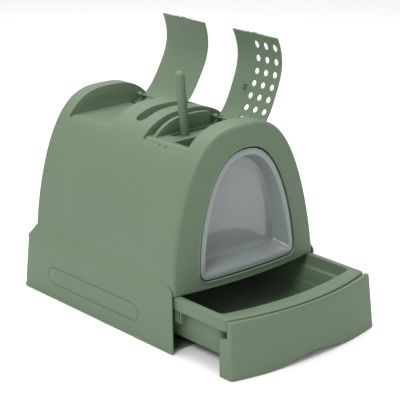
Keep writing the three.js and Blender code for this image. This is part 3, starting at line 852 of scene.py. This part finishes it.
def build_tray(wall):
    skin = Skin()
    inside = TRAY_FLOOR + wall
    rings = [tub_loop(TRAY_FLOOR, 0.006), tub_loop(TRAY_FLOOR + 0.0015, 0.0018)]
    rings += [tub_loop(z) for z in (TRAY_FLOOR + 0.006, 0.045, 0.066, 0.088, TRAY_RIM - 0.0035)]
    rings += [rim_loop(z, inset) for z, inset in (
        (TRAY_RIM - 0.0035, 0.003), (TRAY_SKIRT, 0.003), (TRAY_SKIRT, 0.0),
        (TRAY_RIM - 0.004, 0.0), (TRAY_RIM - 0.0012, 0.0008), (TRAY_RIM, 0.004))]
    rings += [tub_loop(z, wall + inset) for z, inset in (
        (TRAY_RIM, -0.001), (TRAY_RIM - 0.0012, 0.0002), (0.0935, 0.0), (0.0905, 0.0065),
        (0.062, 0.0075), (0.0605, 0.0092), (0.036, 0.0100),
        (inside + 0.004, 0.0105), (inside + 0.001, 0.013), (inside, 0.018))]
    made = skin.grid(rings, wrap=True)
    skin.face(made[0])
    skin.face(made[-1])
    return skin.object("tray_shell", ((0, 0.2, inside), (0, 0, 1)))


def panel_path(z, inset=0.0):
    """The drawer front's plan at a height: right return, bowed front, left return."""
    k = (z - PANEL_FOOT) / (PANEL_TOP - PANEL_FOOT)
    half = lerp(PANEL_HALF_FOOT, PANEL_HALF_TOP, k) - inset
    front = PANEL_Y + PANEL_LEAN * k + inset
    rear = PANEL_Y + PANEL_LEAN * k + lerp(PANEL_LOW_DEPTH, PANEL_HIGH_DEPTH,
                                           smooth_step(PANEL_NOTCH - 0.0005, PANEL_NOTCH + 0.0025, z))
    corner = 0.006
    side = half - corner
    right = [(half, lerp(rear, front + corner, i / 5)) for i in range(5)]
    right += arc(side, front + corner, corner, 0, -90, 5)
    steps = 56
    across = [lerp(side, -side, i / steps) for i in range(1, steps)]
    middle = [(x, front - PANEL_BOW * (1 - (x / side) ** 2)) for x in across]
    return right + middle + mirrored(right)


def wave_z(x):
    if abs(x) >= PANEL_WAVE_HALF:
        return PANEL_FOOT
    return PANEL_FOOT + PANEL_WAVE * (1 + math.cos(math.pi * x / PANEL_WAVE_HALF)) / 2


def flange_edge(count, ends=11):
    """The inner edge of the panel's top flange, which keeps clear of the tray's rim."""
    outer, inner = PANEL_HALF_TOP - 0.003, 0.174
    right = [lerp(outer, inner, i / ends) for i in range(ends)]
    middle = [lerp(inner, -inner, i / (count - 2 * ends - 1)) for i in range(count - 2 * ends)]
    across = right + middle + [-x for x in reversed(right)]
    return [(x, FLANGE_SIDE - FLANGE_BOW * (1 - (x / FLANGE_HALF) ** 2)) for x in across]


def build_panel(thick):
    skin = Skin()
    rows = []
    for share in (0.0, 0.02, 0.15, 0.30, 0.45, 0.58, 0.655, 0.665, 0.686, 0.70, 0.82, 0.93, 0.975):
        row = []
        for i, (foot_x, _) in enumerate(panel_path(PANEL_FOOT)):
            z = lerp(wave_z(foot_x), PANEL_TOP, share)
            row.append(Vector((*panel_path(z)[i], z)))
        rows.append(row)
    top = panel_path(PANEL_TOP, 0.0024)
    for path, z in ((panel_path(PANEL_TOP, 0.0008), PANEL_TOP - 0.0006), (top, PANEL_TOP),
                    (flange_edge(len(top)), PANEL_TOP)):
        rows.append([Vector((x, y, z)) for x, y in path])
    skin.grid(rows)
    return thicken(skin.object("panel_shell", ((0, PANEL_Y - PANEL_BOW, 0.06), (0, -1, 0))), thick)


def panel_arms():
    """Two arms that clip the drawer front to the tray."""
    return merged("panel_arms", [
        block((side * ARM_X - ARM_HALF, -0.052, 0.060), (side * ARM_X + ARM_HALF, -0.002, 0.074))
        for side in (-1, 1)])


# ---------------------------------------------------------------- lids
def lid_edge(y, middle):
    """The lid's thin tip, with its finger tab and a small bump on each side of it."""
    tab = TAB_REACH * math.sqrt(max(1 - ((y - middle) / TAB_HALF) ** 2, 0.0))
    bump = max(BUMP_REACH * max(1 - ((y - middle - side * BUMP_FROM_TAB) / BUMP_HALF) ** 2, 0.0)
               for side in (-1, 1))
    return LID_LEFT - max(tab, bump)


def flat_lid(name, near, far, thick):
    """The lid before it is bent: x and y in plan, z measured inwards from its face."""
    middle = (near + far) / 2
    ys = sorted({near, near + 0.0015, far - 0.0015, far, middle - TAB_HALF, middle + TAB_HALF}
                | {lerp(near, far, i / 40) for i in range(1, 40)}
                | {middle + TAB_HALF * math.sin(math.radians(a)) for a in range(-80, 90, 20)})
    reach = LID_RIGHT - LID_LEFT - 0.004
    fixed = [LID_LEFT + 0.004 + reach * (i / 46) for i in range(47)]
    rows = []
    for y in ys:
        edge = lid_edge(y, middle)
        lead = [lerp(edge, fixed[0], i / 4) for i in range(4)]
        rows.append([(x, y) for x in lead + fixed])
    skin = Skin()
    top = skin.grid([[Vector((x, y, 0.0)) for x, y in row] for row in rows])
    low = skin.grid([[Vector((x, y, -thick)) for x, y in row] for row in rows])
    for a, b in ((top[0], low[0]), (top[-1], low[-1]), ([r[0] for r in top], [r[0] for r in low]),
                 ([r[-1] for r in top], [r[-1] for r in low])):
        for i in range(len(a) - 1):
            skin.face([a[i], a[i + 1], b[i + 1], b[i]])
    return skin.object(name, ((0, middle, 0), (0, 0, 1)))


def bend_lid(piece):
    """Bends a flat lid onto the hood's arch."""
    for vertex in piece.data.vertices:
        x, y, depth = vertex.co
        vertex.co = Vector((x, y, arch_z(x, y))) + arch_normal(x, y) * depth


def open_lid(piece, angle):
    hinge = Vector((HINGE_X, 0, HINGE_Z))
    piece.data.transform(Matrix.Translation(hinge) @ Matrix.Rotation(angle, 4, "Y")
                         @ Matrix.Translation(-hinge))


def lid_hardware(near, far, thick, clip):
    """Hinge lugs inside the lid, and the front lid's small clip for the filter."""
    parts = []
    for y in (near + LUG_INSET, far - LUG_INSET):
        mesh = bmesh.new()
        bmesh.ops.create_cone(mesh, cap_ends=True, segments=28, radius1=LUG_RADIUS,
                              radius2=LUG_RADIUS, depth=2 * LUG_RADIUS)
        bmesh.ops.rotate(mesh, verts=mesh.verts, matrix=Matrix.Rotation(math.pi / 2, 3, "X"))
        bmesh.ops.translate(mesh, verts=mesh.verts, vec=(HINGE_X, y, HINGE_Z))
        parts.append(mesh)
        parts.append(block((HINGE_X - 0.004, y - LUG_RADIUS, HINGE_Z + 0.001),
                           (HINGE_X + 0.004, y + LUG_RADIUS, arch_z(HINGE_X + 0.004, y) - 0.0012)))
    if clip:
        for x in (-0.007, -0.001):
            top = arch_z(x, 0.141)
            parts.append(block((x - 0.001, 0.136, top - 0.0085), (x + 0.001, 0.146, top - thick / 2)))
    return parts


# ---------------------------------------------------------------- flap
def flap_ring(inset, y=None, taper=0.0):
    """One loop of the flap: it follows the door's outline, at a depth or on the bowed face."""
    middle = (DOOR_FOOT + DOOR_CROWN) / 2
    ring = []
    for x, z in door_loop(inset, 72, 6, 18):
        x, z = x * (1 - taper), middle + (z - middle) * (1 - taper)
        ring.append(Vector((x, face_y(x, z) + FLAP_SET_BACK if y is None else y, z)))
    return ring


def build_flap(thick):
    skin = Skin()
    rings = [flap_ring(0.003), flap_ring(0.0125)]
    for inset, step in ((0.0155, 0.0006), (0.0165, 0.0030)):
        rings.append([p + Vector((0, step, 0)) for p in flap_ring(inset)])
    bottom = flap_ring(0.016, PAN_DEPTH, PAN_TAPER)
    for k in (0.25, 0.5, 0.75, 0.93):
        rings.append([a.lerp(b, k) for a, b in zip(rings[3], bottom)])
    for inset, share in ((0.0166, 0.985), (0.0184, 1.0), (0.0225, 1.0)):
        y = lerp(0.012, PAN_DEPTH, share)
        rings.append([Vector((p.x, y, p.z)) for p in flap_ring(inset, y, PAN_TAPER)])
    made = skin.grid(rings, wrap=True)
    skin.face(made[-1])
    flap = thicken(skin.object("flap_shell", ((0, -0.018, 0.14), (0, -1, 0)), "clear"), thick)
    ears = [block((side * 0.056 - 0.004, 0.0045, 0.338), (side * 0.056 + 0.004, 0.014, 0.350))
            for side in (-1, 1)]
    return join_into(flap, ears)


# ---------------------------------------------------------------- scoop and filter
def build_handle():
    foot = BLADE_TOP - 0.004
    length = SCOOP_TOP - foot
    profile = [(SCOOP_RADIUS - 0.0015, 0.0), (SCOOP_RADIUS - 0.0006, length * 0.25),
               (SCOOP_RADIUS, length * 0.45)]
    profile += arc(0.0, length - SCOOP_RADIUS, SCOOP_RADIUS, 0, 90, 9)[:-1]
    skin = Skin()
    rings = []
    for radius, height in profile:
        rings.append([Vector((SCOOP_X + radius * math.cos(a) - SCOOP_LEAN * height,
                              SCOOP_Y + radius * math.sin(a), foot + height))
                      for a in [math.tau * i / 32 for i in range(32)]])
    made = skin.grid(rings, wrap=True)
    skin.face(made[0])
    skin.face(made[-1])
    return skin.object("scoop_handle", ((SCOOP_X, SCOOP_Y - 0.01, 0.45), (0, -1, 0)))


def build_blade():
    """A dished blade: a frame round a row of bars."""
    left, right = BLADE_X - BLADE_HALF, BLADE_X + BLADE_HALF
    near, far = SCOOP_Y - BLADE_DEEP, SCOOP_Y + BLADE_DEEP
    parts = [block((x, near, BLADE_FOOT), (x + 0.003, far, BLADE_TOP)) for x in (left, right - 0.003)]
    for depth, low, high in ((far, BLADE_FOOT, BLADE_FOOT + 0.003), (far, BLADE_TOP - 0.010, BLADE_TOP),
                             (near + 0.003, BLADE_FOOT + 0.003, BLADE_FOOT + 0.008),
                             (near + 0.003, BLADE_TOP - 0.018, BLADE_TOP - 0.010)):
        parts.append(block((left + 0.003, near, low), (right - 0.003, depth, high)))
    return merged("scoop_blade", parts)


def build_pad():
    """The carbon filter: a soft-edged pad of open foam lying in its holder."""
    low = Vector((FILTER_BAY[0] + 0.0012, FILTER_BAY[2] + 0.0012, 0.3595))
    high = Vector((FILTER_BAY[1] - 0.0012, FILTER_BAY[3] - 0.0012, 0.3690))
    mesh = bmesh.new()
    bmesh.ops.create_grid(mesh, x_segments=90, y_segments=36, size=0.5)
    for vertex in mesh.verts:
        u, v = vertex.co.x + 0.5, vertex.co.y + 0.5
        edge = min(min(u, 1 - u) * (high.x - low.x), min(v, 1 - v) * (high.y - low.y))
        soft = 0.0025 * (1 - smooth_step(0.0, 0.004, edge))
        cell = (0.0005 * math.sin(u * 211.0 + 3.0 * math.sin(v * 37.0))
                * math.sin(v * 97.0 + 2.0 * math.sin(u * 61.0)))
        vertex.co = Vector((lerp(low.x, high.x, u), lerp(low.y, high.y, v),
                            high.z - 0.0006 - soft + cell))
    return thicken(as_object("foam_pad", mesh, "foam"), 0.0060)


# ---------------------------------------------------------------- settings
def colour_of(name, description, default):
    return FloatVectorProperty(name=name, description=description, subtype="COLOR",
                               default=default, min=0, max=1)


def share_of(name, description, default):
    return FloatProperty(name=name, description=description, subtype="FACTOR",
                         default=default, min=0, max=1)


def length_of(name, description, default, low, high=1.0):
    return FloatProperty(name=name, description=description, unit="LENGTH", subtype="DISTANCE",
                         default=default, min=low, max=high)


class LitterFinishes(bpy.types.PropertyGroup):
    shell_colour: colour_of("Shell colour", "Colour of the moulded shell, lids and drawer",
                            (0.106, 0.152, 0.096))
    shell_roughness: share_of("Shell roughness", "How matt the moulded plastic is", 0.48)
    flap_colour: colour_of("Flap colour", "Smoke tint of the clear flap", (0.26, 0.30, 0.295))
    flap_density: share_of("Flap density", "How much of the room behind the flap is hidden", 0.74)
    foam_colour: colour_of("Filter colour", "Colour of the carbon filter", (0.020, 0.020, 0.024))
    rubber_colour: colour_of("Foot colour", "Colour of the non-slip feet", (0.07, 0.08, 0.07))


class LitterSizes(bpy.types.PropertyGroup):
    hood_wall: length_of("Hood wall", "Thickness of the hood's moulded wall", 0.0028, 0.001, 0.005)
    base_wall: length_of("Base wall", "Thickness of the base's moulded wall", 0.0028, 0.001, 0.005)
    tray_wall: length_of("Tray wall", "Thickness of the litter tray's wall", 0.003, 0.001, 0.005)
    panel_wall: length_of("Panel wall", "Thickness of the drawer's front", 0.0035, 0.001, 0.005)
    lid_wall: length_of("Lid wall", "Thickness of the two lids", 0.0026, 0.001, 0.004)
    flap_wall: length_of("Flap wall", "Thickness of the clear flap", 0.0022, 0.001, 0.003)
    edge_radius: length_of("Edge radius", "Rounding of the moulded edges", 0.0008, 0.0001, 0.003)
    groove_radius: length_of("Groove radius", "Depth of the line round the base's side panel",
                             0.0011, 0.0003, 0.003)
    vent_rows: IntProperty(name="Vent rows", description="Rows of holes across the front lid",
                           default=7, min=1)
    vent_columns: IntProperty(name="Vent columns", description="Holes in each row",
                              default=3, min=1)
    vent_pitch: length_of("Vent pitch", "Distance between neighbouring vent holes", 0.0258, 0.015)
    vent_radius: length_of("Vent radius", "Radius of one vent hole", 0.0065, 0.001)


# ---------------------------------------------------------------- operators
class PieceMaker:
    """Each operator below makes one piece, or one group of like pieces."""

    def execute(self, context):
        self.make(context.scene.litter_sizes)
        return {"FINISHED"}


class LITTER_OT_hood(PieceMaker, bpy.types.Operator):
    """Build the domed hood with its recesses, grab slot and door opening"""
    bl_idname = "litter.hood"
    bl_label = "Hood"

    def make(self, sizes):
        hood = build_hood(sizes.hood_wall)
        for left, right, near, far in (SLOT, FILTER_BAY):
            cut_away(hood, as_object("opening", block(
                (left - OPENING_ROOM, near - OPENING_ROOM, FRONT_FLOOR - 0.006),
                (right + OPENING_ROOM, far + OPENING_ROOM, FRONT_FLOOR + 0.002))))
        for x, y in LATCH_SEATS:
            ball = bmesh.new()
            bmesh.ops.create_uvsphere(ball, u_segments=16, v_segments=10, radius=0.0032)
            bmesh.ops.translate(ball, verts=ball.verts, vec=(x, y, arch_z(x, y) + 0.0008))
            cut_away(hood, as_object("latch_seat", ball))
        rib = build_rib()
        for piece, replaced in ((hood, "hood"), (rib, None)):
            round_edges(piece, sizes.edge_radius)
            place(piece, "shell", replaced=replaced)


class LITTER_OT_base(PieceMaker, bpy.types.Operator):
    """Build the base with its sloping shoulder, lip and side grooves"""
    bl_idname = "litter.base"
    bl_label = "Base"

    def make(self, sizes):
        base = build_base(sizes.base_wall)
        for side in (-1, 1):
            cut_away(base, groove_cutter(side, sizes.groove_radius))
        round_edges(base, sizes.edge_radius * 0.6, 50)
        place(base, "shell", replaced="base")
        ledge = build_ledge()
        settle(ledge)
        place(ledge, "shell")


class LITTER_OT_drawer(PieceMaker, bpy.types.Operator):
    """Build the litter tray with its catch ribs and the waved drawer front"""
    bl_idname = "litter.drawer"
    bl_label = "Drawer"

    def make(self, sizes):
        tray = build_tray(sizes.tray_wall)
        round_edges(tray, sizes.edge_radius * 0.7, 50)
        for side in (-1, 1):
            run_tree(tray, bar_row_tree(), {
                "Count": 3,
                "First": (side * CATCH_X, DRAWER_OUT - 0.01675, TRAY_SKIRT - CATCH_SIZE[2] / 2),
                "Step": (0.0, 0.007, 0.0), "Bar Size": CATCH_SIZE})
        place(tray, "drawer", replaced="drawer_tray", forward=DRAWER_OUT)
        panel = build_panel(sizes.panel_wall)
        for piece, replaced in ((panel, "drawer_front"), (panel_arms(), None)):
            round_edges(piece, sizes.edge_radius)
            place(piece, "drawer", replaced=replaced, forward=DRAWER_OUT)


class LITTER_OT_lids(PieceMaker, bpy.types.Operator):
    """Build the vented front lid and the plain rear lid, both standing open"""
    bl_idname = "litter.lids"
    bl_label = "Lids"

    def make(self, sizes):
        for name, span, angle, vented in (("front_lid", FRONT_RECESS, FRONT_LID_OPEN, True),
                                          ("rear_lid", REAR_RECESS, REAR_LID_OPEN, False)):
            near, far = span[0] + LID_PLAY, span[1] - LID_PLAY
            lid = flat_lid(name + "_skin", near, far, sizes.lid_wall)
            if vented:
                middle = [first + (count - 1) * sizes.vent_pitch / 2 for first, count in
                          zip(VENT_FIRST, (sizes.vent_rows, sizes.vent_columns))]
                run_tree(lid, vent_tree(), {
                    "Rows": sizes.vent_rows, "Columns": sizes.vent_columns,
                    "Pitch": sizes.vent_pitch, "Hole Radius": sizes.vent_radius,
                    "Middle": (*middle, 0.0)})
            bend_lid(lid)
            join_into(lid, lid_hardware(near, far, sizes.lid_wall, vented))
            open_lid(lid, angle)
            round_edges(lid, sizes.edge_radius * 0.6, 55)
            place(lid, name, replaced=name)


class LITTER_OT_flap(PieceMaker, bpy.types.Operator):
    """Build the smoky clear flap with its deep pan"""
    bl_idname = "litter.flap"
    bl_label = "Flap"

    def make(self, sizes):
        flap = build_flap(sizes.flap_wall)
        round_edges(flap, sizes.edge_radius * 0.5, 55)
        place(flap, "flap", "flap")


class LITTER_OT_scoop(PieceMaker, bpy.types.Operator):
    """Build the scoop's round handle and its slotted blade"""
    bl_idname = "litter.scoop"
    bl_label = "Scoop"

    def make(self, sizes):
        handle = build_handle()
        settle(handle)
        place(handle, "scoop", replaced="scoop")
        blade = build_blade()
        run_tree(blade, bar_row_tree(), {
            "Count": 6, "First": (BLADE_X - 0.0375, SCOOP_Y - BLADE_DEEP + 0.0015,
                                  (BLADE_FOOT + BLADE_TOP) / 2 - 0.005),
            "Step": (0.015, 0.0, 0.0), "Bar Size": (0.007, 0.003, 0.036)})
        place(blade, "scoop")


class LITTER_OT_filter(PieceMaker, bpy.types.Operator):
    """Build the carbon foam pad"""
    bl_idname = "litter.filter"
    bl_label = "Filter"

    def make(self, sizes):
        place(build_pad(), "shell", "carbon_filter")


class LITTER_OT_small_parts(PieceMaker, bpy.types.Operator):
    """Give the pins, feet, holders and floor pan their finishes"""
    bl_idname = "litter.small_parts"
    bl_label = "Small parts"

    def make(self, sizes):
        for finish, nodes in KEPT_NODES.items():
            for node in nodes:
                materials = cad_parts[node].data.materials
                materials.clear()
                materials.append(finish_of(finish))


class LITTER_OT_stage(PieceMaker, bpy.types.Operator):
    """Set up the pale floor, the soft lights and the camera"""
    bl_idname = "litter.stage"
    bl_label = "Stage"

    def make(self, sizes):
        build_stage(bpy.context.scene)


class LITTER_PT_panel(bpy.types.Panel):
    """Buttons for each piece, with the sizes and finishes"""
    bl_idname = "LITTER_PT_panel"
    bl_label = "Litter Box"
    bl_space_type = "VIEW_3D"
    bl_region_type = "UI"
    bl_category = "Litter Box"

    def draw(self, context):
        for group in (context.scene.litter_sizes, context.scene.litter_finishes):
            column = self.layout.column(align=True)
            for name in group.__annotations__:
                column.prop(group, name)
        for piece in PIECES:
            self.layout.operator(f"litter.{piece}")


# ---------------------------------------------------------------- stage
def area_light(name, place_at, size, power):
    data = bpy.data.lights.new(name, "AREA")
    data.size = size
    data.energy = power
    lamp = bpy.data.objects.new(name, data)
    bpy.context.scene.collection.objects.link(lamp)
    lamp.location = place_at
    lamp.rotation_euler = (LIGHT_TARGET - Vector(place_at)).to_track_quat("-Z", "Y").to_euler()


def build_stage(scene):
    skin = Skin()
    skin.plate([Vector((x * FLOOR_REACH, y * FLOOR_REACH, 0))
                for x, y in ((-1, -1), (1, -1), (1, 1), (-1, 1))])
    skin.object("studio_floor", ((0, 0, 0), (0, 0, 1)), "paper")
    scene.world = bpy.data.worlds.new("studio")
    scene.world.use_nodes = True
    feed(scene.world.node_tree, scene.world.node_tree.nodes["Background"],
         {"Color": (1, 1, 1, 1), "Strength": WORLD_STRENGTH})
    area_light("key", *KEY_LIGHT)
    area_light("top", *TOP_LIGHT)
    camera_data = bpy.data.cameras.new("camera")
    camera_data.lens = CAMERA_LENS
    camera_data.sensor_width = 36.0
    camera_data.clip_end = 50.0
    camera = bpy.data.objects.new("camera", camera_data)
    scene.collection.objects.link(camera)
    camera.location = CAMERA_PLACE + Vector((0, FRAME_Y, 0))
    camera.rotation_euler = (math.pi / 2 - CAMERA_ELEVATION, 0, CAMERA_AZIMUTH)
    scene.camera = camera
    scene.view_settings.view_transform = "Standard"


CLASSES = [LitterFinishes, LitterSizes, LITTER_OT_hood, LITTER_OT_base, LITTER_OT_drawer, LITTER_OT_lids,
           LITTER_OT_flap, LITTER_OT_scoop, LITTER_OT_filter, LITTER_OT_small_parts, LITTER_OT_stage,
           LITTER_PT_panel]


def register():
    for each in CLASSES:
        bpy.utils.register_class(each)
    bpy.types.Scene.litter_finishes = PointerProperty(type=LitterFinishes)
    bpy.types.Scene.litter_sizes = PointerProperty(type=LitterSizes)


def unregister():
    del bpy.types.Scene.litter_sizes
    del bpy.types.Scene.litter_finishes
    for each in reversed(CLASSES):
        bpy.utils.unregister_class(each)


def main():
    register()
    for piece in PIECES:
        getattr(bpy.ops.litter, piece)()


if __name__ == "__main__":
    main()
